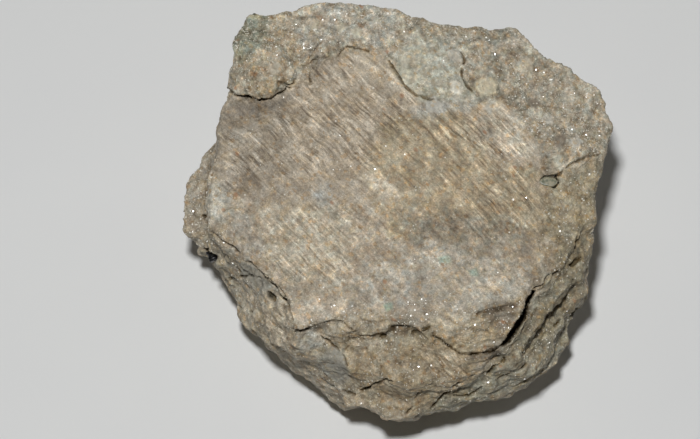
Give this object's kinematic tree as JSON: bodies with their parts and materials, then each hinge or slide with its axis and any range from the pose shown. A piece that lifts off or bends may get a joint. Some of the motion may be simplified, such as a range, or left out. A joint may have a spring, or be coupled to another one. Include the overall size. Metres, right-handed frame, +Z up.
{
  "type": "aquamarine in feldspar specimen",
  "caption": "Broken hand specimen of feldspar rock with a striated cleavage face on top, a granular band, a flat base to rest on, and small prisms of aquamarine and black tourmaline set in it.",
  "frame": {"origin": "on the flat face underneath, below the middle of the rock", "axes": "+X along the longest side, +Y away from the broken front edge towards the thick back, +Z up out of the broad cleavage face"},
  "size_m": [0.1092, 0.1045, 0.0509],
  "materials": {
    "feldspar": "broken feldspar: pink-tan and cream, silky striated cleavage, grey granular band with mica glints",
    "aquamarine": "pale grey-green translucent crystal with flat faces",
    "tourmaline": "glossy black crystal with flat faces"
  },
  "bodies": {
    "root": {"feldspar_matrix": "feldspar", "aquamarine_crystal": "aquamarine", "tourmaline_crystal": "tourmaline"}
  },
  "joints": []
}
